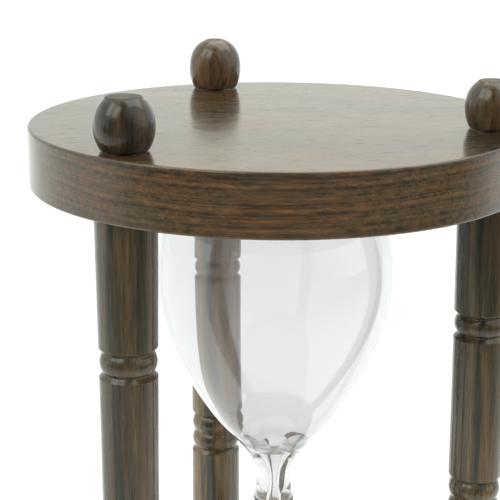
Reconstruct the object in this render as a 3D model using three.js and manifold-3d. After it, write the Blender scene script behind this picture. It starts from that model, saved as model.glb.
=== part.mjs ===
// An hourglass: two round wooden plates on three turned posts, with a one-piece blown glass
// held between them. Sizes are in millimetres and +Z is up. The origin lies on the axis of the
// glass, on the surface that the three feet stand on.
import * as THREE from "three";
import { mergeVertices } from "three/addons/utils/BufferGeometryUtils.js";
import Module from "manifold-3d";

const wasm = await Module();
wasm.setup();

// Frame
const plateRadius = 57;
const plateThickness = 13.8;
const plateRounding = 0.7; // of both rims of each plate
const clearHeight = 150.8; // between the two plates

// Posts. A plate's rim stands postInset outside a post's axis.
const postInset = 8.3;
const postEndRadius = 6.8;
const postSwell = 1.6; // power of the curve that thickens a post towards its ends
const tenonRadius = 4;
const tenonLength = 5;

// Rings turned into the posts: one bead near each end and two at the middle. Each bead lies
// between two grooves, and a chamfer leads from the outer grooves back to the full radius.
const ringPitch = 4.8; // from groove to groove at the middle
const grooveDepth = 1;
const beadDrop = 0.15; // of a bead's crown below the post's own surface
const endRingOffset = 29.75; // from a plate's inner face to the nearest groove

// The posts were turned by hand. The back one is stouter, it stands a little nearer the rim,
// and its rings sit lower.
const posts = {
  front: { angle: 229.8, outwards: 0, waist: 6.2, endPitch: 4.7, endDrop: 0, middleDrop: 0 },
  back: { angle: 109.1, outwards: 0.8, waist: 6.5, endPitch: 3.95, endDrop: 2.8, middleDrop: 5.9 },
  right: { angle: -10.2, outwards: 0, waist: 6.2, endPitch: 4.5, endDrop: 0, middleDrop: 0 },
};

// Balls. The three feet are alike. The finials differ a little, as hand-turned ones do.
// Fullness is the power of the curve over the ball: 2 is an ellipse, and more is rounder.
const foot = { height: 12, radius: 6.5, tipRadius: 3.65, baseRadius: 4.9, fullness: 2.1 };
const finials = {
  front: { ...foot, height: 11.4 },
  back: { height: 12.6, radius: 6.6, tipRadius: 1.6, baseRadius: 5.3, fullness: 2.35 },
  right: { height: 10.9, radius: 5.95, tipRadius: 2.8, baseRadius: 4.7, fullness: 2.1 },
};
const ballBellyHeight = 5; // from a ball's base to its widest point

// Threaded steel studs, drawn at their outer diameter
const studRadius = 2;
const studInPost = 20;
const studInBall = 7.7; // 11 turns of a 0.7 mm thread
const boreClearance = 0.3; // around a stud or a tenon in its hole
const boreSpare = 0.8; // of a blind bore past the end of its stud

// Glass. Its heights count from the neck, and its lower half mirrors the upper one.
const neckRadius = 4.25;
const flareRadius = 11.9; // where the neck's hollow curve turns into the bulb's round one
const flareHeight = 13.95;
const flareAngle = 46; // degrees that the wall rises there
const bulbRadius = 28.4;
const bulbHeight = 52.2; // of the widest point
const endFlatRadius = 15;
const glassWall = 0.6;
const orificeRadius = 0.6;
const funnelRadius = 2.6; // of the funnel's mouth, inside the thick neck
const funnelHeight = 10;

// Filling mouth in the lower end, with its flame-thickened collar, and its stopper
const mouthRadius = 3.4;
const collarWall = 1.8;
const collarHeight = 3.6; // above the floor of the bulb
const stopperTaper = 0.25;

// Seats of the glass: a round recess in each plate with a felt pad in it
const recessDepth = 3;
const padThickness = 1.2;
const seatClearance = 0.8; // between the glass and the wall of its recess

// Sand, all of it run down into the lower bulb
const sandDepth = 29; // at the wall
const sandPeak = 11; // of the heap above that

const faceGap = 0.25; // between faces that bear on each other

// Places
const footTop = foot.height;
const lowerFace = footTop + plateThickness; // inner face of the bottom plate
const neckLevel = lowerFace + clearHeight / 2;
const upperFace = lowerFace + clearHeight; // inner face of the top plate
const glassEnd = clearHeight / 2 + recessDepth - padThickness - 2 * faceGap;
const glassFloor = glassEnd - glassWall;
const studBore = studRadius + boreClearance;

const roundSides = { plate: 48, post: 16, ball: 16, stud: 8, glass: 28 };

const degrees = (angle) => THREE.MathUtils.degToRad(angle);

// A turned body from its outline, a list of [radius, height]. The outline may run either way.
function turned(outline, sides) {
  const doubleArea = outline.reduce((sum, [r, h], i) => {
    const [nextR, nextH] = outline[(i + 1) % outline.length];
    return sum + r * nextH - nextR * h;
  }, 0);
  const upwards = doubleArea > 0 ? outline : [...outline].reverse();
  const profile = upwards.map(([r, h]) => new THREE.Vector2(r, h));
  return new THREE.LatheGeometry(profile, sides).rotateX(Math.PI / 2);
}

function mirrored(outline, side) {
  return outline.map(([r, h]) => [r, side * h]);
}

// A curve's points as [radius, height], without the first one
function curvePoints(curve, count) {
  return curve
    .getPoints(count)
    .slice(1)
    .map((p) => [p.x, p.y]);
}

function bezier(...corners) {
  return new THREE.CubicBezierCurve(
    ...corners.map(([r, h]) => new THREE.Vector2(r, h)),
  );
}

function toSolid(geometry) {
  const bare = geometry.clone();
  bare.deleteAttribute("normal");
  bare.deleteAttribute("uv");
  const merged = mergeVertices(bare, 1e-3);
  return new wasm.Manifold(
    new wasm.Mesh({
      numProp: 3,
      vertProperties: merged.attributes.position.array,
      triVerts: new Uint32Array(merged.index.array),
    }),
  );
}

function toGeometry(solid) {
  const { vertProperties, triVerts } = solid.getMesh();
  const geometry = new THREE.BufferGeometry();
  geometry.setAttribute("position", new THREE.BufferAttribute(vertProperties, 3));
  geometry.setIndex(new THREE.BufferAttribute(triVerts, 1));
  geometry.computeVertexNormals();
  return geometry;
}

// ---------------------------------------------------------------- glass

const flareLean = new THREE.Vector2(
  Math.cos(degrees(flareAngle)),
  Math.sin(degrees(flareAngle)),
);
const bulbRise = bulbHeight - flareHeight;
const along = (distance) => [
  flareRadius + distance * flareLean.x,
  flareHeight + distance * flareLean.y,
];
const neckCurve = bezier(
  [neckRadius, 0],
  [neckRadius, 0.32 * flareHeight],
  along(-0.75 * flareHeight),
  [flareRadius, flareHeight],
);
const bulbCurve = bezier(
  [flareRadius, flareHeight],
  along(0.1 * bulbRise),
  [bulbRadius, bulbHeight - 0.44 * bulbRise],
  [bulbRadius, bulbHeight],
);
const shoulderRise = glassEnd - bulbHeight;
const shoulderCurve = bezier(
  [bulbRadius, bulbHeight],
  [bulbRadius, bulbHeight + 0.61 * shoulderRise],
  [endFlatRadius + 0.45 * (bulbRadius - endFlatRadius), glassEnd],
  [endFlatRadius, glassEnd],
);

// The bulb's wall from just above the neck to its flat end, moved inwards by an inset
function bulbWall(inset) {
  const points = [];
  for (const [curve, from, steps] of [
    [neckCurve, 0.84, 1],
    [bulbCurve, 0, 7],
    [shoulderCurve, 0, 6],
  ])
    for (let i = points.length ? 1 : 0; i <= steps; i++) {
      const t = from + (1 - from) * (i / steps);
      const p = curve.getPoint(t);
      const tangent = curve.getTangent(t);
      points.push([p.x - inset * tangent.y, p.y + inset * tangent.x]);
    }
  return points;
}

// Radius of an outline that only rises, at one height
function radiusAt(outline, height) {
  const i = outline.findIndex(([, h]) => h >= height);
  const [r0, h0] = outline[i - 1];
  const [r1, h1] = outline[i];
  return r0 + ((r1 - r0) * (height - h0)) / (h1 - h0);
}

const outerHalf = [
  [neckRadius, 0],
  ...curvePoints(neckCurve, 4),
  ...curvePoints(bulbCurve, 7),
  ...curvePoints(shoulderCurve, 6),
];
const innerWall = bulbWall(glassWall);
const funnelCurve = bezier(
  [orificeRadius, 0],
  [orificeRadius, 0.1 * funnelHeight],
  [0.65 * funnelRadius, 0.85 * funnelHeight],
  [funnelRadius, funnelHeight],
);
const bowlCurve = bezier(
  [funnelRadius, funnelHeight],
  [funnelRadius + 3.8, funnelHeight + 0.4],
  [innerWall[0][0] - 0.75, innerWall[0][1] - 0.8],
  innerWall[0],
);
const innerHalf = [
  [orificeRadius, 0],
  ...curvePoints(funnelCurve, 3),
  ...curvePoints(bowlCurve, 3),
  ...innerWall.slice(1),
];

function glassGeometry() {
  const lower = [
    ...innerHalf.slice(1),
    [mouthRadius + collarWall, glassFloor],
    [mouthRadius + collarWall, glassFloor - collarHeight],
    [mouthRadius, glassFloor - collarHeight],
    [mouthRadius, glassEnd],
    ...outerHalf.slice(1).reverse(),
  ];
  // The outline starts and ends on the axis, at the closed upper end.
  const outline = [
    [0, glassFloor],
    ...[...innerHalf].reverse(),
    ...mirrored(lower, -1),
    ...outerHalf,
    [0, glassEnd],
  ];
  return turned(outline, roundSides.glass);
}

const stopperBottom = faceGap - glassEnd;
const stopperTop = collarHeight - glassFloor - faceGap;

function stopperGeometry() {
  const radius = mouthRadius - faceGap;
  return turned(
    [
      [0, stopperBottom],
      [radius, stopperBottom],
      [radius - stopperTaper, stopperTop],
      [0, stopperTop],
    ],
    roundSides.stud,
  );
}

function sandGeometry() {
  const level = glassFloor - sandDepth;
  const wall = bulbWall(glassWall + faceGap);
  const covered = wall.filter(([, h]) => h > level);
  const overCollar = glassFloor - collarHeight - faceGap;
  const besideCollar = mouthRadius + collarWall + faceGap;
  return turned(
    mirrored(
      [
        [0, level - sandPeak],
        [2.5, level - sandPeak + 0.5],
        [radiusAt(wall, level), level],
        ...covered,
        [besideCollar, glassFloor - faceGap],
        [besideCollar, overCollar],
        [0, overCollar],
      ],
      -1,
    ),
    roundSides.glass,
  );
}

// ---------------------------------------------------------------- plates and pads

const recessRadius = radiusAt(outerHalf, clearHeight / 2) + seatClearance;

// Side 1 is the top plate, seen from its inner face upwards, and side -1 is the bottom plate.
function plateGeometry(side) {
  const rim = [];
  const roundSteps = 2;
  for (const [centre, start] of [
    [plateRounding, -90],
    [plateThickness - plateRounding, 0],
  ])
    for (let i = 0; i <= roundSteps; i++) {
      const angle = degrees(start + (90 * i) / roundSteps);
      rim.push([
        plateRadius - plateRounding + plateRounding * Math.cos(angle),
        centre + plateRounding * Math.sin(angle),
      ]);
    }
  const disc = [
    [0, recessDepth],
    [recessRadius, recessDepth],
    [recessRadius, 0],
    ...rim,
    [0, plateThickness],
  ];
  const past = 1; // of a cutter outside the plate's faces
  const socketDepth = tenonLength + faceGap;
  const steppedHole = [
    [0, -past],
    [tenonRadius + boreClearance, -past],
    [tenonRadius + boreClearance, socketDepth],
    [studBore, socketDepth],
    [studBore, plateThickness + past],
    [0, plateThickness + past],
  ];
  let plate = toSolid(turned(mirrored(disc, side), roundSides.plate));
  for (const post of Object.values(posts)) {
    const cutter = turned(mirrored(steppedHole, side), roundSides.post);
    cutter.translate(...axisOf(post), 0);
    plate = plate.subtract(toSolid(cutter));
  }
  return toGeometry(plate);
}

function padGeometry(side) {
  const radius = recessRadius - faceGap;
  const outline = [
    [0, recessDepth - faceGap - padThickness],
    [radius, recessDepth - faceGap - padThickness],
    [radius, recessDepth - faceGap],
    [0, recessDepth - faceGap],
  ];
  return turned(mirrored(outline, side), roundSides.glass);
}

// ---------------------------------------------------------------- posts, balls and studs

function axisOf(post) {
  const angle = degrees(post.angle);
  const reach = plateRadius - postInset + post.outwards;
  return [reach * Math.cos(angle), reach * Math.sin(angle)];
}

function postRadiusAt(post, height) {
  const share = Math.abs(height) / (clearHeight / 2);
  return post.waist + (postEndRadius - post.waist) * share ** postSwell;
}

// Grooves with beads between them, from the lowest groove upwards
function ringOutline(post, lowestGroove, grooves, pitch) {
  const beadSteps = 3;
  const surface = (height, depth) => [postRadiusAt(post, height) - depth, height];
  const points = [surface(lowestGroove - grooveDepth, 0)];
  for (let i = 0; i < grooves; i++) {
    const groove = lowestGroove + i * pitch;
    points.push(surface(groove, grooveDepth));
    for (let step = 1; step < beadSteps && i < grooves - 1; step++) {
      const swell = (grooveDepth - beadDrop) * Math.sin((Math.PI * step) / beadSteps);
      points.push(surface(groove + (pitch * step) / beadSteps, grooveDepth - swell));
    }
  }
  points.push(surface(lowestGroove + (grooves - 1) * pitch + grooveDepth, 0));
  return points;
}

function postGeometry(post) {
  const shoulder = clearHeight / 2 - faceGap;
  const tenonEnd = clearHeight / 2 + tenonLength;
  const boreEnd = clearHeight / 2 - studInPost - boreSpare;
  const tenon = [
    [0, boreEnd],
    [studBore, boreEnd],
    [studBore, tenonEnd],
    [tenonRadius, tenonEnd],
    [tenonRadius, shoulder],
    [postEndRadius, shoulder],
  ];
  const firstGroove = clearHeight / 2 - endRingOffset;
  return turned(
    [
      ...mirrored(tenon, -1),
      ...ringOutline(post, -firstGroove - post.endDrop, 2, post.endPitch),
      ...ringOutline(post, -ringPitch - post.middleDrop, 3, ringPitch),
      ...ringOutline(post, firstGroove - post.endPitch - post.endDrop, 2, post.endPitch),
      ...tenon.reverse(),
    ],
    roundSides.post,
  );
}

// Heights count from the ball's base, outwards from the plate.
function ballGeometry(ball, side) {
  const steps = 4;
  const power = ball.fullness;
  const upperHeight = ball.height - ballBellyHeight;
  const lowerAxis = ballBellyHeight / Math.sqrt(1 - (ball.baseRadius / ball.radius) ** 2);
  const upperAxis = upperHeight / (1 - (ball.tipRadius / ball.radius) ** power) ** (1 / power);
  const belly = [];
  for (let i = 1; i <= steps; i++) {
    const below = ballBellyHeight * (1 - i / steps);
    const height = ballBellyHeight - below;
    belly.push([ball.radius * Math.sqrt(1 - (below / lowerAxis) ** 2), height]);
  }
  for (let i = 1; i <= steps; i++) {
    const above = upperHeight * Math.sin((Math.PI * i) / (2 * steps));
    const radius = ball.radius * (1 - (above / upperAxis) ** power) ** (1 / power);
    belly.push([radius, ballBellyHeight + above]);
  }
  const outline = [
    [0, studInBall + boreSpare],
    [studBore, studInBall + boreSpare],
    [studBore, faceGap],
    [ball.baseRadius, faceGap],
    ...belly,
    [0, ball.height],
  ];
  return turned(mirrored(outline, side), roundSides.ball);
}

function studGeometry(side) {
  const outline = [
    [0, -studInPost],
    [studRadius, -studInPost],
    [studRadius, plateThickness + studInBall],
    [0, plateThickness + studInBall],
  ];
  return turned(mirrored(outline, side), roundSides.stud);
}

// ---------------------------------------------------------------- assembly

const finishes = {
  rosewood: { color: 0x54422f, roughness: 0.25, metalness: 0 },
  steel: { color: 0xb5b7ba, roughness: 0.35, metalness: 1 },
  clearGlass: { color: 0xe9eeee, roughness: 0.02, metalness: 0, transparent: true, opacity: 0.35 },
  greyRubber: { color: 0x6a6560, roughness: 0.8, metalness: 0 },
  greenFelt: { color: 0x2f4a3a, roughness: 1, metalness: 0 },
  paleSand: { color: 0xd9c8a4, roughness: 1, metalness: 0 },
};

const hourglass = new THREE.Group();

function place(name, geometry, finish, x, y, z) {
  const mesh = new THREE.Mesh(geometry, new THREE.MeshStandardMaterial(finishes[finish]));
  mesh.name = name;
  mesh.position.set(x, y, z);
  hourglass.add(mesh);
}

for (const [name, side, face] of [
  ["lower", -1, lowerFace],
  ["upper", 1, upperFace],
]) {
  const plateName = side > 0 ? "top_plate" : "bottom_plate";
  const outerFace = face + side * plateThickness;
  place(plateName, plateGeometry(side), "rosewood", 0, 0, face);
  place(`${name}_seat_pad`, padGeometry(side), "greenFelt", 0, 0, face);
  for (const [postName, post] of Object.entries(posts)) {
    const axis = axisOf(post);
    const ball = side > 0 ? finials[postName] : foot;
    const ballName = side > 0 ? `finial_${postName}` : `foot_${postName}`;
    place(ballName, ballGeometry(ball, side), "rosewood", ...axis, outerFace);
    place(`${name}_stud_${postName}`, studGeometry(side), "steel", ...axis, face);
  }
}

for (const [name, post] of Object.entries(posts))
  place(`post_${name}`, postGeometry(post), "rosewood", ...axisOf(post), neckLevel);

place("glass_vessel", glassGeometry(), "clearGlass", 0, 0, neckLevel);
place("filling_stopper", stopperGeometry(), "greyRubber", 0, 0, neckLevel);
place("sand", sandGeometry(), "paleSand", 0, 0, neckLevel);

export default hourglass;
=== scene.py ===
# %% [markdown]
# # An hourglass: turned rosewood round a blown glass
# Two round plates stand on three turned posts, ball finials close the hourglass above and
# below, and a one-piece glass sits between felt pads. Each wooden piece came off a lathe, so
# nearly every shape here is an outline spun round an axis.
#
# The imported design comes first, because it says where everything is. Nothing below moves it.

# %% Load the frame
import math

import bmesh
import bpy
from mathutils import Matrix, Vector


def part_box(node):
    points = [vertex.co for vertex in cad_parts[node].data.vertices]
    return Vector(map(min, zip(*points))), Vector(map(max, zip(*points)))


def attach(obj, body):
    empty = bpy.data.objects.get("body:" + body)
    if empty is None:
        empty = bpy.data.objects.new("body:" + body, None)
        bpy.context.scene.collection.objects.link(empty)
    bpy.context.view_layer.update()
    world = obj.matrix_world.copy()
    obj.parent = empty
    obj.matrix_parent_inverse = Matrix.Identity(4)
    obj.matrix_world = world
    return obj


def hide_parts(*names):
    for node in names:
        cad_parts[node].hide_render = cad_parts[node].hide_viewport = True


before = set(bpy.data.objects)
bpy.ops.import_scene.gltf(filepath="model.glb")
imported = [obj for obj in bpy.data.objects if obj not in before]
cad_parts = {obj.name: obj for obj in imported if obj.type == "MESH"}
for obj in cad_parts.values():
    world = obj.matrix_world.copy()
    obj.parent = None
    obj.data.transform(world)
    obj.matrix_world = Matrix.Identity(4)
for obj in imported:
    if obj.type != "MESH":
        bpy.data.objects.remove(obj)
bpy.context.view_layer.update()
MM = 0.001

# %% [markdown]
# The main sizes are read from the design's own pieces, in millimetres, so a plate or a post
# that is made here fits where the plain one stood.

# %% Read the main sizes
POST_NAMES = ("front", "back", "right")


def spread(node):
    """A design node's lowest and highest corner in millimetres."""
    low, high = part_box(node)
    return low / MM, high / MM


def radius_of(node):
    low, high = spread(node)
    return (high.x - low.x) / 2


def axis_of(node):
    low, high = spread(node)
    return ((low.x + high.x) / 2, (low.y + high.y) / 2)


plate_low, plate_high = spread("top_plate")
plate_radius = radius_of("top_plate")
plate_thickness = plate_high.z - plate_low.z
upper_face = plate_low.z
lower_face = spread("bottom_plate")[1].z
top_face = plate_high.z
clear_height = upper_face - lower_face
neck_level = (upper_face + lower_face) / 2
post_axis = {name: axis_of(f"post_{name}") for name in POST_NAMES}
print(f"plates {2 * plate_radius:.1f} across, {clear_height:.1f} apart, neck at {neck_level:.1f}")

# %% [markdown]
# ## Outlines and turning
# A lathe cuts one outline all round. In Blender that is a short chain of points, spun once
# round an upright axis. Corners that a turner breaks with sandpaper get a small arc, which
# catches a thin highlight, as on the real piece.

# %% Outline helpers
SHARP_TURN = math.radians(20)  # a corner that turns by less is part of a curve
ARC_REACH = 0.45  # of each stretch that an arc may take up
MERGE_DISTANCE = 1e-6


def arc_at(before, corner, after, radius, steps=4):
    """Points of a round corner: an arc that touches both stretches that meet there."""
    here = Vector(corner)
    back, on = (Vector(before) - here), (Vector(after) - here)
    wanted = radius / math.tan(back.angle(on) / 2)
    reach = min(wanted, ARC_REACH * back.length, ARC_REACH * on.length)
    start, end = here + back.normalized() * reach, here + on.normalized() * reach
    points = []
    for i in range(steps + 1):
        t = i / steps
        points.append((1 - t) ** 2 * start + 2 * t * (1 - t) * here + t * t * end)
    return [tuple(p) for p in points]


def eased(outline, radius):
    """The outline with every inner corner broken by the same small radius."""
    points = [outline[0]]
    for before, corner, after in zip(outline, outline[1:], outline[2:]):
        turn = (Vector(corner) - Vector(before)).angle(Vector(after) - Vector(corner))
        if turn > SHARP_TURN:
            points += arc_at(before, corner, after, radius)
        else:
            points.append(corner)
    return points + [outline[-1]]


def curve_points(corners, steps):
    """A cubic curve through its first and last corner, without its first point."""
    points = []
    for i in range(1, steps + 1):
        t = i / steps
        u = 1 - t
        weights = (u**3, 3 * u * u * t, 3 * u * t * t, t**3)
        point = tuple(sum(w * p[k] for w, p in zip(weights, corners)) for k in (0, 1))
        points.append(point)
    return points


def flipped(outline):
    """The outline upside down, about height 0."""
    return [(r, -h) for r, h in outline]


def turned(outline, centre=(0, 0), level=0, sides=128):
    """Spins (radius, height) points in mm round the upright axis through centre."""
    bm = bmesh.new()
    x, y = centre
    corners = [bm.verts.new(((x + r) * MM, y * MM, (level + h) * MM)) for r, h in outline]
    edges = [bm.edges.new(pair) for pair in zip(corners, corners[1:])]
    bmesh.ops.spin(
        bm,
        geom=corners + edges,
        cent=(x * MM, y * MM, 0),
        axis=(0, 0, 1),
        angle=math.tau,
        steps=sides,
        use_merge=True,
    )
    bmesh.ops.remove_doubles(bm, verts=bm.verts, dist=MERGE_DISTANCE)
    bmesh.ops.recalc_face_normals(bm, faces=bm.faces)
    return bm


# %% [markdown]
# Every finished piece goes the same way: mesh, smooth shading and material. It then rides on
# the empty of its body, and the plain node it replaces is hidden. Weighted normals keep the flat
# faces of a turned piece flat right up to their rounded rims.

# %% Finishing helper


def finish_piece(bm, name, material, body, node, weighted=True):
    mesh = bpy.data.meshes.new(name)
    for face in bm.faces:
        face.smooth = True
    bm.to_mesh(mesh)
    bm.free()
    piece = bpy.data.objects.new(name, mesh)
    bpy.context.scene.collection.objects.link(piece)
    mesh.materials.append(material)
    if weighted:
        normals = piece.modifiers.new("flat faces stay flat", "WEIGHTED_NORMAL")
        normals.keep_sharp = True
    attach(piece, body)
    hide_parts(node)
    print(f"{name}: {len(mesh.polygons)} faces on {body}")
    return piece


# %% [markdown]
# ## Node helpers
# Materials are built from nodes in code. Short helpers keep that readable: one adds a node
# with its settings, one feeds a socket from either a number or another node's output, and
# the others stand for the sums and blends that come back again and again.

# %% Node helpers


def add(tree, kind, settings=None, **inputs):
    """A new node. Inputs are named as on the node, with _ for a space."""
    node = tree.nodes.new(kind)
    for key, value in (settings or {}).items():
        setattr(node, key, value)
    for key, value in inputs.items():
        feed(tree, node.inputs[key.replace("_", " ")], value)
    return node


def feed(tree, socket, value):
    if isinstance(value, bpy.types.NodeSocket):
        tree.links.new(value, socket)
    else:
        socket.default_value = value


def maths(tree, operation, first, second=0.0, third=0.0):
    node = add(tree, "ShaderNodeMath", {"operation": operation})
    for socket, value in zip(node.inputs, (first, second, third)):
        feed(tree, socket, value)
    return node.outputs[0]


def product(tree, *factors):
    result = factors[0]
    for factor in factors[1:]:
        result = maths(tree, "MULTIPLY", result, factor)
    return result


def vector_maths(tree, operation, first, second):
    """A vector, or the number that DOT_PRODUCT and LENGTH give."""
    node = add(tree, "ShaderNodeVectorMath", {"operation": operation})
    feed(tree, node.inputs[0], first)
    feed(tree, node.inputs[1], second)
    return node.outputs["Value" if operation in ("DOT_PRODUCT", "LENGTH") else "Vector"]


def blend_colour(tree, share, first, second, kind="MIX"):
    node = add(tree, "ShaderNodeMix", {"data_type": "RGBA", "blend_type": kind})
    feed(tree, node.inputs["Factor"], share)
    feed(tree, node.inputs["A"], first)
    feed(tree, node.inputs["B"], second)
    return node.outputs["Result"]


def blend(tree, share, first, second):
    """A number between first and second."""
    node = add(tree, "ShaderNodeMix", {"data_type": "FLOAT"})
    feed(tree, node.inputs[0], share)
    feed(tree, node.inputs[2], first)
    feed(tree, node.inputs[3], second)
    return node.outputs[0]


def ramp(tree, value, stops):
    """A colour ramp through (position, colour) stops."""
    node = add(tree, "ShaderNodeValToRGB", Fac=value)
    elements = node.color_ramp.elements
    while len(elements) < len(stops):
        elements.new(1.0)
    for element, (position, colour) in zip(elements, stops):
        element.position = position
        element.color = (*colour, 1.0)
    return node.outputs["Color"]


def rescale(tree, value, low, high, to_low=0.0, to_high=1.0):
    node = add(tree, "ShaderNodeMapRange", {"clamp": True})
    for key, number in (
        ("Value", value),
        ("From Min", low),
        ("From Max", high),
        ("To Min", to_low),
        ("To Max", to_high),
    ):
        feed(tree, node.inputs[key], number)
    return node.outputs["Result"]


def grey(tree, value):
    """The same number in all three channels."""
    return add(tree, "ShaderNodeCombineXYZ", {}, X=value, Y=value, Z=value).outputs[0]


def object_place(tree):
    return add(tree, "ShaderNodeTexCoord").outputs["Object"]


def noise(tree, place, scale, detail, **more):
    node = add(
        tree, "ShaderNodeTexNoise", {}, Vector=place, Scale=scale, Detail=detail, **more
    )
    return node.outputs["Fac"]


def bump(tree, height, strength, distance):
    """A bump whose full height is distance, in metres."""
    return add(
        tree, "ShaderNodeBump", {}, Height=height, Strength=strength, Distance=distance
    )


def new_group(name, inputs, outputs):
    """An empty node group with typed sockets; returns it with its input and output nodes."""
    group = bpy.data.node_groups.new(name, "ShaderNodeTree")
    for key, kind, value in inputs:
        socket = group.interface.new_socket(key, in_out="INPUT", socket_type=kind)
        if value is not None:
            socket.default_value = value
    for key, kind in outputs:
        group.interface.new_socket(key, in_out="OUTPUT", socket_type=kind)
    return group, group.nodes.new("NodeGroupInput"), group.nodes.new("NodeGroupOutput")


def new_material(name):
    material = bpy.data.materials.new(name)
    material.use_nodes = True
    tree = material.node_tree
    shader = next(n for n in tree.nodes if n.type == "BSDF_PRINCIPLED")
    return material, tree, shader


# %% [markdown]
# ## Rosewood
# Rosewood is striped because its growth rings differ in colour: near-black, olive, brown and
# a warm red. A board shows them as long streaks, and a cut across the grain shows the same
# rings as arcs and specks. A solid pattern gives both for nothing, as it is worked out from
# the place in the wood and not from the surface.
#
# The group below takes a place whose X runs along the grain. The distance from the tree's
# pith, made uneven by a noise that is long in X, chooses the ring. Two finer noises add
# fibres and open pores, which are short dark dashes along the grain.

# %% Rosewood figure
TONES = [
    (0.30, (0.013, 0.0125, 0.008)),
    (0.42, (0.038, 0.028, 0.014)),
    (0.50, (0.075, 0.047, 0.020)),
    (0.58, (0.104, 0.060, 0.024)),
    (0.70, (0.160, 0.096, 0.037)),
]
OLIVE_TINT = (0.68, 0.97, 1.25, 1.0)  # where the wood isn't warm
RED_TINT = (1.28, 0.88, 0.8, 1.0)  # in the red streaks of warm wood
PORE_COLOUR = (0.008, 0.007, 0.005, 1.0)

# The cells of each noise per mm, along the grain and both ways across it
DRIFT_CELLS = (0.006, 0.03, 0.03)
STREAK_CELLS = (0.05, 1.0, 1.0)
RED_CELLS = (0.05, 0.22, 0.22)
FIBRE_CELLS = (0.16, 5.0, 5.0)
PORE_CELLS = (0.30, 3.6, 3.6)

DRIFT_RINGS = 7.0  # that the unevenness can move a place by
RING_SHARE = 0.5  # of the tone that comes from the ring, and the rest from the streak
MIDDLE_TONE = 0.5
RED_RANGE = (0.40, 0.62)
FIBRE_RANGE = (0.3, 0.7)
FIBRE_SHADES = (0.7, 1.3)
PORE_RANGE = (0.66, 0.74)
PORE_DARKNESS = 0.8
FIBRE_HEIGHT = 0.15  # beside a pore's depth of 1


def build_rosewood():
    group, given, out = new_group(
        "rosewood figure",
        [
            ("Place", "NodeSocketVector", None),
            ("Pith", "NodeSocketVector", (0.0, 0.0, -60.0)),
            ("Ring Width", "NodeSocketFloat", 2.2),
            ("Waviness", "NodeSocketFloat", 1.0),
            ("Warmth", "NodeSocketFloat", 0.5),
            ("Contrast", "NodeSocketFloat", 1.0),
        ],
        [
            ("Color", "NodeSocketColor"),
            ("Pores", "NodeSocketFloat"),
            ("Height", "NodeSocketFloat"),
        ],
    )
    warmth = given.outputs["Warmth"]
    place = vector_maths(group, "MULTIPLY", given.outputs["Place"], (1 / MM,) * 3)

    def figure_noise(cells, detail, roughness=0.55):
        where = vector_maths(group, "MULTIPLY", place, cells)
        return noise(group, where, 1.0, detail, Roughness=roughness)

    # The rings lie round the pith, and a slow drift makes them uneven.
    from_pith = vector_maths(group, "SUBTRACT", place, given.outputs["Pith"])
    across = vector_maths(group, "MULTIPLY", from_pith, (0.0, 1.0, 1.0))
    distance = vector_maths(group, "LENGTH", across, (0.0, 0.0, 0.0))
    rings = maths(group, "DIVIDE", distance, given.outputs["Ring Width"])
    drift = product(group, figure_noise(DRIFT_CELLS, 2.0), given.outputs["Waviness"])
    ring = add(
        group,
        "ShaderNodeTexNoise",
        {"noise_dimensions": "1D"},
        W=maths(group, "MULTIPLY_ADD", drift, DRIFT_RINGS, rings),
        Scale=1.0,
        Detail=2.5,
        Roughness=0.6,
    )

    # The tone comes from the ring and a finer streak.
    streak = figure_noise(STREAK_CELLS, 3.0, 0.62)
    tone = blend(group, RING_SHARE, streak, ring.outputs["Fac"])
    off_middle = maths(group, "SUBTRACT", tone, MIDDLE_TONE)
    tone = maths(group, "MULTIPLY_ADD", off_middle, given.outputs["Contrast"], MIDDLE_TONE)
    colour = ramp(group, tone, TONES)
    olive_share = maths(group, "SUBTRACT", 1.0, warmth)
    colour = blend_colour(group, olive_share, colour, OLIVE_TINT, "MULTIPLY")
    red_share = rescale(group, figure_noise(RED_CELLS, 2.0), *RED_RANGE, 0.0, warmth)
    colour = blend_colour(group, red_share, colour, RED_TINT, "MULTIPLY")

    # Fibres shade it, and open pores dot it.
    fibre = figure_noise(FIBRE_CELLS, 2.0)
    shade = rescale(group, fibre, *FIBRE_RANGE, *FIBRE_SHADES)
    colour = blend_colour(group, 1.0, colour, grey(group, shade), "MULTIPLY")
    pores = rescale(group, figure_noise(PORE_CELLS, 1.0), *PORE_RANGE)
    pore_share = product(group, pores, PORE_DARKNESS)
    colour = blend_colour(group, pore_share, colour, PORE_COLOUR)
    height = maths(group, "MULTIPLY_ADD", fibre, FIBRE_HEIGHT, product(group, pores, -1.0))
    feed(group, out.inputs["Color"], colour)
    feed(group, out.inputs["Pores"], pores)
    feed(group, out.inputs["Height"], height)
    return group


rosewood_figure = build_rosewood()
print("rosewood figure:", len(rosewood_figure.nodes), "nodes")

# %% [markdown]
# The varnish is a clear film over dark wood. Seen straight on it hides little, and at a low
# angle it turns into a pale mirror, which is why the top plate looks almost white from a
# seat at the table. The film's slow unevenness is a faint bump, and the pores dull it.
#
# Each post and each pair of balls gets its own material, because each was cut from another
# part of the board. The pith's place, the ring width and the tone differ. A post's tone also
# falls on its way up. That fall is painted shade under the upper plate and painted light from
# the floor near its foot. The front balls' low tone is painted shade for the dark side they face.

# %% Varnished rosewood
VARNISH_IOR = 1.5
VARNISH_ROUGHNESS = 0.16
PORE_ROUGHNESS = 0.4
END_GRAIN_ROUGHNESS = 0.6
END_GRAIN_REACH = (0.5, 0.1)  # mm from the tip, where end grain starts and where it is full


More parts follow.
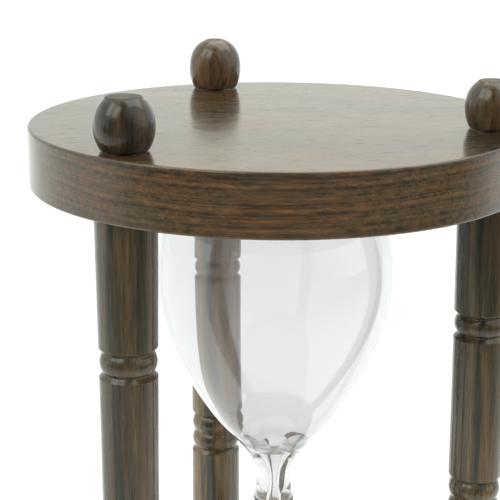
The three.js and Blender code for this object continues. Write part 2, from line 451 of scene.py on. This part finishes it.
def rosewood(name, grain, pith, ring_width, waviness, warmth, low, high, contrast=1.0, tip=None):
    """Rosewood whose grain runs along X or Z, with the pith at a place in mm.

    Its tone goes from low at the lower plate's face to high at the upper plate's. This is
    painted light from the floor below and painted shade from the upper plate above. Above the
    height tip, and as near the ground, end grain has drunk the varnish and shines less.
    """
    material, tree, shader = new_material(name)
    place = object_place(tree)
    turn = (0.0, math.radians(90), 0.0) if grain == "Z" else (0.0, 0.0, 0.0)
    mapping = add(tree, "ShaderNodeMapping", {}, Vector=place, Rotation=turn)
    figure = add(tree, "ShaderNodeGroup", {"node_tree": rosewood_figure})
    for key, value in (
        ("Place", mapping.outputs["Vector"]),
        ("Pith", pith),
        ("Ring Width", ring_width),
        ("Waviness", waviness),
        ("Warmth", warmth),
        ("Contrast", contrast),
    ):
        feed(tree, figure.inputs[key], value)
    film_bump = bump(tree, noise(tree, place, 70.0, 2.0), 0.2, 0.0006)
    wood_bump = bump(tree, figure.outputs["Height"], 0.3, 0.0001)
    feed(tree, wood_bump.inputs["Normal"], film_bump.outputs["Normal"])
    upward = add(tree, "ShaderNodeSeparateXYZ", {}, Vector=place).outputs["Z"]
    # painted light and shade: the tone runs from low at the lower plate to high at the upper one
    depth = rescale(tree, upward, lower_face * MM, upper_face * MM, low, high)
    colour = blend_colour(tree, 1.0, figure.outputs["Color"], grey(tree, depth), "MULTIPLY")
    pores = figure.outputs["Pores"]
    roughness = rescale(tree, pores, 0.0, 1.0, VARNISH_ROUGHNESS, PORE_ROUGHNESS)
    if tip:
        start, full = END_GRAIN_REACH
        for none_at, all_at in ((tip - start, tip - full), (start, full)):
            dull = rescale(tree, upward, none_at * MM, all_at * MM, 0.0, END_GRAIN_ROUGHNESS)
            roughness = maths(tree, "MAXIMUM", roughness, dull)
    feed(tree, shader.inputs["Base Color"], colour)
    feed(tree, shader.inputs["Normal"], wood_bump.outputs["Normal"])
    feed(tree, shader.inputs["Roughness"], roughness)
    shader.inputs["IOR"].default_value = VARNISH_IOR
    return material


# For each: the pith, the ring width, the waviness, the warmth, and the tone below and above.
# On the posts these tones are painted light low down and painted shade under the upper plate.
# The front balls' low tone is painted shade.
PLATE_WOOD = ((0.0, 0.0, -700.0), 1.3, 0.35, 0.7, 1.05, 1.05)
PLATE_CONTRAST = 0.85
POST_WOOD_AND_SHADE = {
    "front": ((10.0, -80.0, 0.0), 2.4, 0.4, 0.3, 1.0, 0.9),
    "back": ((-60.0, 10.0, 0.0), 2.8, 0.4, 0.45, 2.4, 1.6),
    "right": ((-10.0, 70.0, 0.0), 2.2, 0.4, 0.3, 2.3, 0.5),
}
BALL_WOOD_AND_SHADE = {
    # the front balls' low tone is painted shade for the dark side they face
    "front": ((-200.0, -45.0, 0.0), 2.4, 0.5, 0.4, 0.5, 0.5),
    "back": ((-190.0, 70.0, 0.0), 1.8, 0.5, 0.6, 1.2, 1.2),
    "right": ((-195.0, -25.0, 0.0), 2.1, 0.5, 0.45, 1.0, 1.0),
}

plate_wood = rosewood("rosewood plate", "X", *PLATE_WOOD, contrast=PLATE_CONTRAST)
post_wood = {
    name: rosewood(f"rosewood {name} post", "Z", *POST_WOOD_AND_SHADE[name]) for name in POST_NAMES
}
ball_wood = {
    name: rosewood(
        f"rosewood {name} ball", "Z", *BALL_WOOD_AND_SHADE[name], tip=spread(f"finial_{name}")[1].z
    )
    for name in POST_NAMES
}
print("wood:", plate_wood.name, "and", len(post_wood) + len(ball_wood), "others")

# %% [markdown]
# ## Plates
# A plate is a disc with broken rims. Its inner face has a shallow recess for the glass. The
# bottom plate is the same disc upside down.

# %% Plates
PLATE_ROUNDING = 0.7
PLATE_SIDES = 256
RIM_STEPS = 8
RECESS_DEPTH = 3.0
RECESS_EASE = 0.4
RECESS_LAND = 3.0  # of the flat face beside the recess, before the rest of that face
FACE_GAP = 0.25
pad_radius = radius_of("upper_seat_pad")
recess_radius = pad_radius + FACE_GAP


def plate_outline():
    """Heights count outwards from the inner face."""
    inner, outer = (plate_radius, 0), (plate_radius, plate_thickness)
    rim = [
        *arc_at((0, 0), inner, outer, PLATE_ROUNDING, RIM_STEPS),
        *arc_at(inner, outer, (0, plate_thickness), PLATE_ROUNDING, RIM_STEPS),
    ]
    recess = [
        (0, RECESS_DEPTH),
        (recess_radius, RECESS_DEPTH),
        (recess_radius, 0),
        (recess_radius + RECESS_LAND, 0),
    ]
    return [*eased(recess, RECESS_EASE), *rim, (0, plate_thickness)]


for node, outline, face in (
    ("top_plate", plate_outline(), upper_face),
    ("bottom_plate", flipped(plate_outline()), lower_face),
):
    bm = turned(outline, level=face, sides=PLATE_SIDES)
    finish_piece(bm, f"{node}_turned", plate_wood, "stand", node)

# %% [markdown]
# ## Posts
# A post swells a little from its middle to its ends. One bead near each end and two at the
# middle are cut between narrow grooves. The posts were turned by hand, so the back one is
# stouter and carries its rings a little lower than the others.

# %% Posts
POST_SIDES = 96
POST_END_RADIUS = 6.8
POST_SWELL = 1.6  # power of the curve that thickens a post towards its ends
POST_EASE = 0.3
TENON_RADIUS = 4.0
TENON_LENGTH = 5.0
STUD_BORE = 2.3
STUD_IN_POST = 20.0
BORE_SPARE = 0.8
RING_PITCH = 4.8
GROOVE_DEPTH = 1.0
BEAD_DROP = 0.15
BEAD_FULLNESS = 0.8  # power of the curve over a bead: below 1 is fuller than a sine
END_RING_OFFSET = 29.75
POSTS = {
    "front": {"waist": 6.2, "end_pitch": 4.7, "end_drop": 0.0, "middle_drop": 0.0},
    "back": {"waist": 6.5, "end_pitch": 3.95, "end_drop": 2.8, "middle_drop": 5.9},
    "right": {"waist": 6.2, "end_pitch": 4.5, "end_drop": 0.0, "middle_drop": 0.0},
}


def post_surface(post, height, depth=0.0):
    share = abs(height) / (clear_height / 2)
    swell = (POST_END_RADIUS - post["waist"]) * share**POST_SWELL
    return (post["waist"] + swell - depth, height)


def ring_outline(post, lowest_groove, grooves, pitch, bead_steps=12):
    """Grooves with beads between them, from the lowest groove up."""
    points = [post_surface(post, lowest_groove - GROOVE_DEPTH)]
    for i in range(grooves):
        groove = lowest_groove + i * pitch
        points.append(post_surface(post, groove, GROOVE_DEPTH))
        for step in range(1, bead_steps if i < grooves - 1 else 0):
            share = step / bead_steps
            rise = (GROOVE_DEPTH - BEAD_DROP) * math.sin(math.pi * share) ** BEAD_FULLNESS
            points.append(post_surface(post, groove + pitch * share, GROOVE_DEPTH - rise))
    highest_groove = lowest_groove + (grooves - 1) * pitch
    return points + [post_surface(post, highest_groove + GROOVE_DEPTH)]


def taper(post, start, end, steps=6):
    """The plain stretch between two ring groups."""
    return [post_surface(post, start + (end - start) * i / steps) for i in range(1, steps)]


def post_outline(post):
    shoulder = clear_height / 2 - FACE_GAP
    tenon_end = clear_height / 2 + TENON_LENGTH
    bore_end = clear_height / 2 - STUD_IN_POST - BORE_SPARE
    tenon = [
        (0, bore_end),
        (STUD_BORE, bore_end),
        (STUD_BORE, tenon_end),
        (TENON_RADIUS, tenon_end),
        (TENON_RADIUS, shoulder),
        (POST_END_RADIUS, shoulder),
    ]
    first = clear_height / 2 - END_RING_OFFSET
    groups = [
        ring_outline(post, -first - post["end_drop"], 2, post["end_pitch"]),
        ring_outline(post, -RING_PITCH - post["middle_drop"], 3, RING_PITCH),
        ring_outline(post, first - post["end_pitch"] - post["end_drop"], 2, post["end_pitch"]),
    ]
    outline = flipped(tenon)
    for group in groups:
        outline += taper(post, outline[-1][1], group[0][1]) + group
    outline += taper(post, outline[-1][1], shoulder) + tenon[::-1]
    return eased(outline, POST_EASE)


for name in POST_NAMES:
    bm = turned(post_outline(POSTS[name]), post_axis[name], neck_level, POST_SIDES)
    finish_piece(bm, f"post_{name}_turned", post_wood[name], "stand", f"post_{name}")

# %% [markdown]
# ## Ball finials and feet
# A ball is an ellipse below its widest ring and a fuller curve above it, cut off flat at the
# tip. The three feet are alike. The finials differ a little from each other, as hand-turned
# ones do, and their radii and heights come from the design's own pieces.

# %% Balls
BALL_SIDES = 96
BALL_BELLY = 5.0  # from a ball's base to its widest ring
BALL_EASE = 0.3
TIP_STEPS = 8
STUD_IN_BALL = 7.7
BALLS = {
    "front": {"tip": 3.65, "base": 4.9, "fullness": 2.1, "tip_ease": 0.8},
    "back": {"tip": 1.6, "base": 5.3, "fullness": 2.35, "tip_ease": 0.6},
    "right": {"tip": 2.8, "base": 4.7, "fullness": 2.1, "tip_ease": 0.8},
}


def ball_outline(ball, radius, height, steps=14):
    """Heights count from the ball's base, outwards from the plate."""
    power = ball["fullness"]
    upper = height - BALL_BELLY
    lower_axis = BALL_BELLY / math.sqrt(1 - (ball["base"] / radius) ** 2)
    upper_axis = upper / (1 - (ball["tip"] / radius) ** power) ** (1 / power)
    belly = []
    for i in range(1, steps + 1):
        below = BALL_BELLY * (1 - i / steps)
        belly.append((radius * math.sqrt(1 - (below / lower_axis) ** 2), BALL_BELLY - below))
    for i in range(1, steps + 1):
        above = upper * math.sin(math.pi / 2 * i / steps)
        narrowed = radius * (1 - (above / upper_axis) ** power) ** (1 / power)
        belly.append((narrowed, BALL_BELLY + above))
    bore = STUD_IN_BALL + BORE_SPARE
    hole = [(0, bore), (STUD_BORE, bore), (STUD_BORE, FACE_GAP), (ball["base"], FACE_GAP)]
    tip = arc_at(belly[-2], belly[-1], (0, height), ball["tip_ease"], TIP_STEPS)
    return eased(hole + belly[:-1], BALL_EASE) + tip + [(0, height)]


for name in POST_NAMES:
    for node, ball, body, outward in (
        (f"finial_{name}", BALLS[name], f"finial_{name}", 1),
        (f"foot_{name}", BALLS["front"], "stand", -1),
    ):
        low, high = spread(node)
        outline = ball_outline(ball, radius_of(node), high.z - low.z + FACE_GAP)
        face = top_face if outward > 0 else lower_face - plate_thickness
        outline = outline if outward > 0 else flipped(outline)
        bm = turned(outline, axis_of(node), face, BALL_SIDES)
        finish_piece(bm, f"{node}_turned", ball_wood[name], body, node)

# %% [markdown]
# ## Threaded studs
# The finials screw onto steel studs. A thread is a zigzag outline that climbs by one pitch
# while it turns once, so spin gets a climb as well as an angle. The ragged first and last
# turns are cut off flat and closed.

# %% Studs
STUD_RADIUS = 2.0
THREAD_PITCH = 0.7
THREAD_DEPTH = 0.38
THREAD_SIDES = 24
THREAD_MERGE = 2e-6
RAGGED_TURNS = 1.5  # of thread below the stud's end, all cut off
CUT_TOLERANCE = 1e-7
STEEL_COLOUR = (0.42, 0.42, 0.43, 1.0)
STEEL_ROUGHNESS = (0.24, 0.42)
WEAR_RANGE = (0.3, 0.7)

steel, tree, shader = new_material("plain steel")
steel_wear = noise(tree, object_place(tree), 900.0, 3.0)
feed(tree, shader.inputs["Roughness"], rescale(tree, steel_wear, *WEAR_RANGE, *STEEL_ROUGHNESS))
shader.inputs["Base Color"].default_value = STEEL_COLOUR
shader.inputs["Metallic"].default_value = 1.0


def stud_mesh(centre, bottom, top):
    bm = bmesh.new()
    x, y = centre
    turns = math.ceil((top - bottom) / THREAD_PITCH) + 2
    chain = []
    for i in range(2 * turns + 1):
        radius = STUD_RADIUS - (THREAD_DEPTH if i % 2 else 0)
        height = bottom - THREAD_PITCH * RAGGED_TURNS + i * THREAD_PITCH / 2
        chain.append(bm.verts.new(((x + radius) * MM, y * MM, height * MM)))
    edges = [bm.edges.new(pair) for pair in zip(chain, chain[1:])]
    bmesh.ops.spin(
        bm,
        geom=chain + edges,
        cent=(x * MM, y * MM, 0),
        axis=(0, 0, 1),
        dvec=(0, 0, THREAD_PITCH * MM / THREAD_SIDES),
        angle=math.tau,
        steps=THREAD_SIDES,
    )
    bmesh.ops.remove_doubles(bm, verts=bm.verts, dist=THREAD_MERGE)
    for level, up in ((bottom * MM, -1), (top * MM, 1)):
        bmesh.ops.bisect_plane(
            bm,
            geom=bm.verts[:] + bm.edges[:] + bm.faces[:],
            plane_co=(0, 0, level),
            plane_no=(0, 0, up),
            clear_outer=True,
        )
        rim = [
            edge
            for edge in bm.edges
            if edge.is_boundary
            and all(abs(vert.co.z - level) < CUT_TOLERANCE for vert in edge.verts)
        ]
        bmesh.ops.holes_fill(bm, edges=rim)
    bmesh.ops.recalc_face_normals(bm, faces=bm.faces)
    return bm


for name in POST_NAMES:
    for half, body in (("upper", f"stud_{name}"), ("lower", "stand")):
        node = f"{half}_stud_{name}"
        low, high = spread(node)
        bm = stud_mesh(axis_of(node), low.z, high.z)
        finish_piece(bm, f"{node}_threaded", steel, body, node)

# %% [markdown]
# ## Blown glass
# The glass is one piece. A thin round bulb narrows to a thick neck, and a fine bore joins the
# two bulbs. Its outer and inner walls are separate outlines, because the neck is thick where
# the glassblower gathered it and the bulbs are thin where it was blown. The lower end has the
# mouth through which it was filled.

# %% Glass outline
NECK_RADIUS = 4.25
FLARE_RADIUS = 11.9  # where the neck's hollow curve turns into the bulb's round one
FLARE_HEIGHT = 13.95
FLARE_ANGLE = math.radians(46)
BULB_HEIGHT = 52.2  # of the widest ring
END_FLAT_RADIUS = 15.0
GLASS_WALL = 0.6
ORIFICE_RADIUS = 0.6
FUNNEL_RADIUS = 2.6
FUNNEL_HEIGHT = 10.0
MOUTH_RADIUS = 3.4
COLLAR_WALL = 1.8
COLLAR_HEIGHT = 3.6
BULB_WALL_START = 9  # first outline point that the thin wall follows

# How far each curve keeps its first and its last direction, as shares of its height or
# width. The bowl's are in mm, outwards and upwards, and they make its floor nearly flat.
NECK_HANDLES = (0.32, 0.75)
BULB_HANDLES = (0.1, 0.44)
SHOULDER_HANDLES = (0.61, 0.45)
FUNNEL_START = 0.1
FUNNEL_END = (0.65, 0.85)
BOWL_START = (3.8, 0.4)
BOWL_END = (0.75, 0.8)

bulb_radius = radius_of("glass_vessel")
glass_end = spread("glass_vessel")[1].z - neck_level
glass_floor = glass_end - GLASS_WALL
bulb_rise = BULB_HEIGHT - FLARE_HEIGHT
shoulder_rise = glass_end - BULB_HEIGHT


def up_the_flare(distance):
    return (
        FLARE_RADIUS + distance * math.cos(FLARE_ANGLE),
        FLARE_HEIGHT + distance * math.sin(FLARE_ANGLE),
    )


neck_curve = (
    (NECK_RADIUS, 0),
    (NECK_RADIUS, NECK_HANDLES[0] * FLARE_HEIGHT),
    up_the_flare(-NECK_HANDLES[1] * FLARE_HEIGHT),
    (FLARE_RADIUS, FLARE_HEIGHT),
)
bulb_curve = (
    (FLARE_RADIUS, FLARE_HEIGHT),
    up_the_flare(BULB_HANDLES[0] * bulb_rise),
    (bulb_radius, BULB_HEIGHT - BULB_HANDLES[1] * bulb_rise),
    (bulb_radius, BULB_HEIGHT),
)
shoulder_curve = (
    (bulb_radius, BULB_HEIGHT),
    (bulb_radius, BULB_HEIGHT + SHOULDER_HANDLES[0] * shoulder_rise),
    (END_FLAT_RADIUS + SHOULDER_HANDLES[1] * (bulb_radius - END_FLAT_RADIUS), glass_end),
    (END_FLAT_RADIUS, glass_end),
)
outer_half = [
    neck_curve[0],
    *curve_points(neck_curve, 12),
    *curve_points(bulb_curve, 24),
    *curve_points(shoulder_curve, 18),
]


def bulb_wall(inset):
    """The bulb's wall from above the neck to its flat end, moved inwards by an inset."""
    wall = outer_half[BULB_WALL_START:]
    points = []
    for before, here, after in zip(wall, wall[1:], wall[2:]):
        along = (Vector(after) - Vector(before)).normalized()
        points.append((here[0] - inset * along.y, here[1] + inset * along.x))
    return points + [(wall[-1][0], wall[-1][1] - inset)]


inner_wall = bulb_wall(GLASS_WALL)
wall_foot = inner_wall[0]
funnel_mouth = (FUNNEL_RADIUS, FUNNEL_HEIGHT)
funnel_curve = (
    (ORIFICE_RADIUS, 0),
    (ORIFICE_RADIUS, FUNNEL_START * FUNNEL_HEIGHT),
    (FUNNEL_END[0] * FUNNEL_RADIUS, FUNNEL_END[1] * FUNNEL_HEIGHT),
    funnel_mouth,
)
bowl_curve = (
    funnel_mouth,
    (FUNNEL_RADIUS + BOWL_START[0], FUNNEL_HEIGHT + BOWL_START[1]),
    (wall_foot[0] - BOWL_END[0], wall_foot[1] - BOWL_END[1]),
    wall_foot,
)
inner_half = [
    funnel_curve[0],
    *curve_points(funnel_curve, 10),
    *curve_points(bowl_curve, 10),
    *inner_wall[1:],
]
print(f"glass: bulbs {2 * bulb_radius:.1f} across, {len(outer_half) + len(inner_half)} points")

# %% [markdown]
# Clear glass needs almost no colour. Its walls are real, so light bends where it should, and
# the shader's own sockets hold its numbers. A transmission a little below one leaves a trace
# of haze, which keeps the glass a soft pale grey against a white room.

# %% Glass piece
GLASS_COLOUR = (0.966, 0.975, 0.972, 1.0)
GLASS_IOR = 1.5
GLASS_TRANSMISSION = 0.94
GLASS_SIDES = 160
MOUTH_EASE = 0.6

clear_glass, tree, shader = new_material("clear glass")
shader.inputs["Base Color"].default_value = GLASS_COLOUR
shader.inputs["Roughness"].default_value = 0.0
shader.inputs["IOR"].default_value = GLASS_IOR
shader.inputs["Transmission Weight"].default_value = GLASS_TRANSMISSION


def glass_outline():
    collar_radius = MOUTH_RADIUS + COLLAR_WALL
    mouth = [
        (collar_radius + 1, glass_floor),
        (collar_radius, glass_floor),
        (collar_radius, glass_floor - COLLAR_HEIGHT),
        (MOUTH_RADIUS, glass_floor - COLLAR_HEIGHT),
        (MOUTH_RADIUS, glass_end),
        (MOUTH_RADIUS + 1, glass_end),
    ]
    upper_inside = [(0, glass_floor)] + inner_half[::-1]
    lower = inner_half[1:] + eased(mouth, MOUTH_EASE) + outer_half[:0:-1]
    return upper_inside + flipped(lower) + outer_half + [(0, glass_end)]


bm = turned(glass_outline(), level=neck_level, sides=GLASS_SIDES)
finish_piece(bm, "blown_glass", clear_glass, "stand", "glass_vessel", weighted=False)

# %% [markdown]
# ## Stopper, pads and sand
# The sand has all run down. It lies as a low cone with a softened crest, a grain's width
# clear of the glass. Its grains are far too many to model, so they are a fine bump and a
# speckled colour.

# %% Finishes of the stopper, the pads and the sand
RUBBER_TONES = [(0.3, (0.09, 0.08, 0.075)), (0.7, (0.14, 0.13, 0.12))]
FELT_TONES = [(0.3, (0.006, 0.022, 0.012)), (0.7, (0.02, 0.06, 0.034))]
SAND_TONES = [
    (0.0, (0.42, 0.30, 0.17)),
    (0.35, (0.62, 0.47, 0.29)),
    (0.8, (0.78, 0.65, 0.46)),
    (1.0, (0.9, 0.84, 0.72)),
]

rubber, tree, shader = new_material("grey rubber")
rubber_bloom = noise(tree, object_place(tree), 1500.0, 2.0)
feed(tree, shader.inputs["Base Color"], ramp(tree, rubber_bloom, RUBBER_TONES))
shader.inputs["Roughness"].default_value = 0.75

felt, tree, shader = new_material("green felt")
felt_fibre = noise(tree, object_place(tree), 2600.0, 4.0, Distortion=1.2)
felt_bump = bump(tree, felt_fibre, 0.8, 0.0003)
feed(tree, shader.inputs["Base Color"], ramp(tree, felt_fibre, FELT_TONES))
feed(tree, shader.inputs["Normal"], felt_bump.outputs["Normal"])
shader.inputs["Roughness"].default_value = 0.95
shader.inputs["Sheen Weight"].default_value = 0.5

sand_finish, tree, shader = new_material("pale sand")
grains = add(tree, "ShaderNodeTexVoronoi", {}, Vector=object_place(tree), Scale=3200.0)
grain_tone = add(tree, "ShaderNodeSeparateColor", {}, Color=grains.outputs["Color"])
sand_bump = bump(tree, grains.outputs["Distance"], 0.7, 0.0003)
feed(tree, shader.inputs["Base Color"], ramp(tree, grain_tone.outputs["Red"], SAND_TONES))
feed(tree, shader.inputs["Normal"], sand_bump.outputs["Normal"])
shader.inputs["Roughness"].default_value = 0.9

# %% Stopper, pads and sand
STOPPER_TAPER = 0.25
STOPPER_EASE = 0.35
PAD_THICKNESS = 1.2
PAD_EASE = 0.3
SAND_DEPTH = 29.0  # at the glass
SAND_PEAK = 11.0  # of the heap above that
CREST_STEPS = 24
CREST_SOFTNESS = 0.012


def stopper_outline():
    radius = MOUTH_RADIUS - FACE_GAP
    bottom, top = FACE_GAP - glass_end, COLLAR_HEIGHT - glass_floor - FACE_GAP
    sides = [(0, bottom), (radius, bottom), (radius - STOPPER_TAPER, top), (0, top)]
    return eased(sides, STOPPER_EASE)


def sand_outline():
    """Heights count down from the neck, so the heap's top comes first."""
    level = glass_floor - SAND_DEPTH
    covered = [p for p in bulb_wall(GLASS_WALL + FACE_GAP) if p[1] > level]
    edge = covered[0][0]
    crest = []
    for i in range(CREST_STEPS):
        share = i / CREST_STEPS
        fall = math.sqrt(share**2 + CREST_SOFTNESS) - math.sqrt(CREST_SOFTNESS)
        crest.append((edge * share, level - SAND_PEAK * (1 - fall)))
    beside_collar = MOUTH_RADIUS + COLLAR_WALL + FACE_GAP
    over_collar = glass_floor - COLLAR_HEIGHT - FACE_GAP
    floor = [(beside_collar, glass_floor - FACE_GAP), (beside_collar, over_collar)]
    return crest + covered + floor + [(0, over_collar)]


def pad_outline():
    far = RECESS_DEPTH - FACE_GAP
    near = far - PAD_THICKNESS
    return eased([(0, near), (pad_radius, near), (pad_radius, far), (0, far)], PAD_EASE)


bm = turned(stopper_outline(), level=neck_level, sides=48)
finish_piece(bm, "stopper", rubber, "stand", "filling_stopper")
bm = turned(pad_outline(), level=upper_face, sides=96)
finish_piece(bm, "upper_pad", felt, "stand", "upper_seat_pad")
bm = turned(flipped(pad_outline()), level=lower_face, sides=96)
finish_piece(bm, "lower_pad", felt, "stand", "lower_seat_pad")
bm = turned(flipped(sand_outline()), level=neck_level, sides=128)
finish_piece(bm, "sand_heap", sand_finish, "stand", "sand", weighted=False)

# %% [markdown]
# ## Camera
# The camera stands in front, a little above the top plate, and looks down past the rim. Its
# distance and height are stated in plate radii, so it keeps its view if the size changes.

# %% Camera
CAMERA_DISTANCE = 5.9677
CAMERA_RISE = 1.0766
CAMERA_PITCH = 0.2655
CAMERA_YAW = -0.0179
CAMERA_ROLL = 0.0041
SENSOR_WIDTH = 36.0
FOCAL_SHARE = 2.98752  # of the sensor's width

camera_data = bpy.data.cameras.new("camera")
camera_data.sensor_width = SENSOR_WIDTH
camera_data.lens = SENSOR_WIDTH * FOCAL_SHARE
camera_data.clip_start = 0.01
camera = bpy.data.objects.new("camera", camera_data)
bpy.context.scene.collection.objects.link(camera)
forward = Vector(
    (
        math.sin(CAMERA_YAW) * math.cos(CAMERA_PITCH),
        math.cos(CAMERA_YAW) * math.cos(CAMERA_PITCH),
        -math.sin(CAMERA_PITCH),
    )
)
level_right = Vector((math.cos(CAMERA_YAW), -math.sin(CAMERA_YAW), 0.0))
level_up = level_right.cross(forward)
right = math.cos(CAMERA_ROLL) * level_right + math.sin(CAMERA_ROLL) * level_up
up = math.cos(CAMERA_ROLL) * level_up - math.sin(CAMERA_ROLL) * level_right
turn = Matrix((right, up, -forward)).transposed().to_4x4()
seat = Vector((0.0, -CAMERA_DISTANCE * plate_radius, top_face + CAMERA_RISE * plate_radius)) * MM
camera.matrix_world = Matrix.Translation(seat) @ turn
bpy.context.scene.camera = camera
print("camera at", [round(c, 4) for c in seat])

# %% [markdown]
# ## Stage and light
# A pale floor and an even white room give the soft light of a product table. Reflected rays
# see a different room: it is dark on the viewer's side, low down, because that is where the
# viewer stands, and the varnish shows it as the deep tone in the middle of each post. The
# same rays see the floor darker near the viewer. To the eye the floor and the room stay
# white, and what has passed the glass sees both slightly dimmer. So this light is staged,
# and it isn't the light of one real room.

# %% Floor
FLOOR_HALF_SIZE = 3.0
FLOOR_COLOUR = (0.92, 0.92, 0.92, 1.0)
BLACK = (0.0, 0.0, 0.0, 1.0)
FLOOR_SLANT = -0.5  # by which the reflected shade reaches further back on the right side
SHADE_RANGE = (-0.5, -0.1)  # Y in metres where the shade is full and least, viewer at -Y
SHADE_DEPTHS = (0.92, 0.2)
FLOOR_THROUGH_GLASS = 0.1


def glass_share(tree, amount):
    """The amount for all that passes glass, and 0 for the rest."""
    depth = add(tree, "ShaderNodeLightPath").outputs["Transmission Depth"]
    return product(tree, maths(tree, "MINIMUM", depth, 1.0), amount)


def reflected_share(tree):
    """1 for what a surface in the open reflects, 0 for the eye and for all that passes glass."""
    paths = add(tree, "ShaderNodeLightPath")
    through = maths(tree, "LESS_THAN", paths.outputs["Transmission Depth"], 0.5)
    return product(tree, maths(tree, "MINIMUM", paths.outputs["Glossy Depth"], 1.0), through)


bm = bmesh.new()
bmesh.ops.create_grid(bm, x_segments=1, y_segments=1, size=FLOOR_HALF_SIZE)
floor_mesh = bpy.data.meshes.new("floor")
bm.to_mesh(floor_mesh)
bm.free()
floor = bpy.data.objects.new("floor", floor_mesh)
bpy.context.scene.collection.objects.link(floor)
pale, tree, shader = new_material("pale floor")
floor_axes = add(tree, "ShaderNodeSeparateXYZ", {}, Vector=object_place(tree))
right_side = maths(tree, "MAXIMUM", floor_axes.outputs["X"], 0.0)
floor_depth = maths(tree, "MULTIPLY_ADD", right_side, FLOOR_SLANT, floor_axes.outputs["Y"])
front_shade = rescale(tree, floor_depth, *SHADE_RANGE, *SHADE_DEPTHS)
reflected_shade = product(tree, reflected_share(tree), front_shade)
shade = maths(tree, "MAXIMUM", reflected_shade, glass_share(tree, FLOOR_THROUGH_GLASS))
feed(tree, shader.inputs["Base Color"], blend_colour(tree, shade, FLOOR_COLOUR, BLACK))
shader.inputs["Roughness"].default_value = 1.0
shader.inputs["Specular IOR Level"].default_value = 0.0
floor_mesh.materials.append(pale)

# %% Room light
WHITE = (1.0, 1.0, 1.0, 1.0)
ROOM_TINT = (0.93, 1.0, 0.95, 1.0)
ROOM_WARMTH = (0.99, 0.94, 0.8, 1.0)  # straight behind, a little above the horizon
ROOM_BRIGHT = 1.3
ROOM_DARK = 0.1
ROOM_FILL = 0.12  # more light for matt surfaces
ROOM_THROUGH_GLASS = 0.06
VIEWER_SLANT = 0.6  # of the dark side's edge
VIEWER_RANGE = (-0.75, -0.15)
VIEWER_HALF_WIDTH = (0.12, 0.24)  # of the viewer, who is darker still
BEHIND_RANGE = (-0.35, -0.15)
VIEWER_TONE = 0.1
WARM_HEIGHTS = (0.155, 0.21)
WARM_BACK = (0.85, 0.93)
WINDOW_GAIN = 2.4
WINDOW_EDGE = 0.06
BAR_EDGE = 0.03
AHEAD_RANGE = (0.0, 0.2)
# For each window: its direction, its half width and height, and its bar's half width
WINDOWS = [
    ((-0.55, -0.45, 0.7), 0.42, 0.36, 0.03),
    ((0.25, 0.3, 0.9), 0.55, 0.45, 0.0),
]

world = bpy.data.worlds.new("white room")
bpy.context.scene.world = world
world.use_nodes = True
tree = world.node_tree
background = next(n for n in tree.nodes if n.type == "BACKGROUND")
way = add(tree, "ShaderNodeTexCoord").outputs["Generated"]
axes = add(tree, "ShaderNodeSeparateXYZ", {}, Vector=way)
x_way, y_way, z_way = (axes.outputs[key] for key in "XYZ")


def window(centre, half_width, half_height, bar):
    """A mask of the directions that see a window with one upright bar."""
    ahead = Vector(centre).normalized()
    aside = ahead.cross((0, 0, 1)).normalized()
    above = aside.cross(ahead)
    sideways, upright, forwards = (
        vector_maths(tree, "DOT_PRODUCT", way, axis) for axis in (aside, above, ahead)
    )
    sideways = maths(tree, "ABSOLUTE", sideways)
    upright = maths(tree, "ABSOLUTE", upright)
    return product(
        tree,
        rescale(tree, sideways, half_width, half_width - WINDOW_EDGE),
        rescale(tree, upright, half_height, half_height - WINDOW_EDGE),
        rescale(tree, sideways, bar, bar + BAR_EDGE),
        rescale(tree, forwards, *AHEAD_RANGE),
    )


# What reflected rays see: the dark side, the viewer on it, and the windows
facing = maths(tree, "MULTIPLY_ADD", z_way, VIEWER_SLANT, y_way)
room = rescale(tree, facing, *VIEWER_RANGE, ROOM_DARK, ROOM_BRIGHT)
beside = rescale(tree, maths(tree, "ABSOLUTE", x_way), *VIEWER_HALF_WIDTH)
behind = rescale(tree, y_way, *BEHIND_RANGE)
viewer = maths(tree, "MAXIMUM", maths(tree, "MAXIMUM", beside, behind), VIEWER_TONE)
panes = maths(tree, "ADD", *(window(*each) for each in WINDOWS))
room = maths(tree, "MULTIPLY_ADD", panes, WINDOW_GAIN, product(tree, room, viewer))
warm = product(tree, rescale(tree, z_way, *WARM_HEIGHTS), rescale(tree, y_way, *WARM_BACK))
tint = blend_colour(tree, warm, ROOM_TINT, ROOM_WARMTH)

# What all other rays see
diffuse = add(tree, "ShaderNodeLightPath").outputs["Is Diffuse Ray"]
plain = maths(tree, "MULTIPLY_ADD", diffuse, ROOM_FILL, 1.0)
plain = maths(tree, "SUBTRACT", plain, glass_share(tree, ROOM_THROUGH_GLASS))

reflected = reflected_share(tree)
feed(tree, background.inputs["Strength"], blend(tree, reflected, plain, room))
feed(tree, background.inputs["Color"], blend_colour(tree, reflected, WHITE, tint))


def soft_light(name, place, aim, width, height, power):
    data = bpy.data.lights.new(name, "AREA")
    data.shape = "RECTANGLE"
    data.size, data.size_y, data.energy = width, height, power
    light = bpy.data.objects.new(name, data)
    bpy.context.scene.collection.objects.link(light)
    light.location = place
    light.rotation_euler = (Vector(aim) - Vector(place)).to_track_quat("-Z", "Y").to_euler()
    light.visible_camera = False
    light.visible_glossy = False
    light.visible_transmission = False


middle = (0.0, 0.0, neck_level * MM)
soft_light("overhead", (0.15, 0.25, 1.3), middle, 1.4, 1.0, 3.5)
soft_light("window", (-0.75, -0.35, 0.95), middle, 0.6, 0.6, 1.0)
bpy.context.scene.view_settings.view_transform = "Standard"
lamps = [o for o in bpy.data.objects if o.type == "LIGHT"]
print("stage: floor, room and", len(lamps), "soft lights")
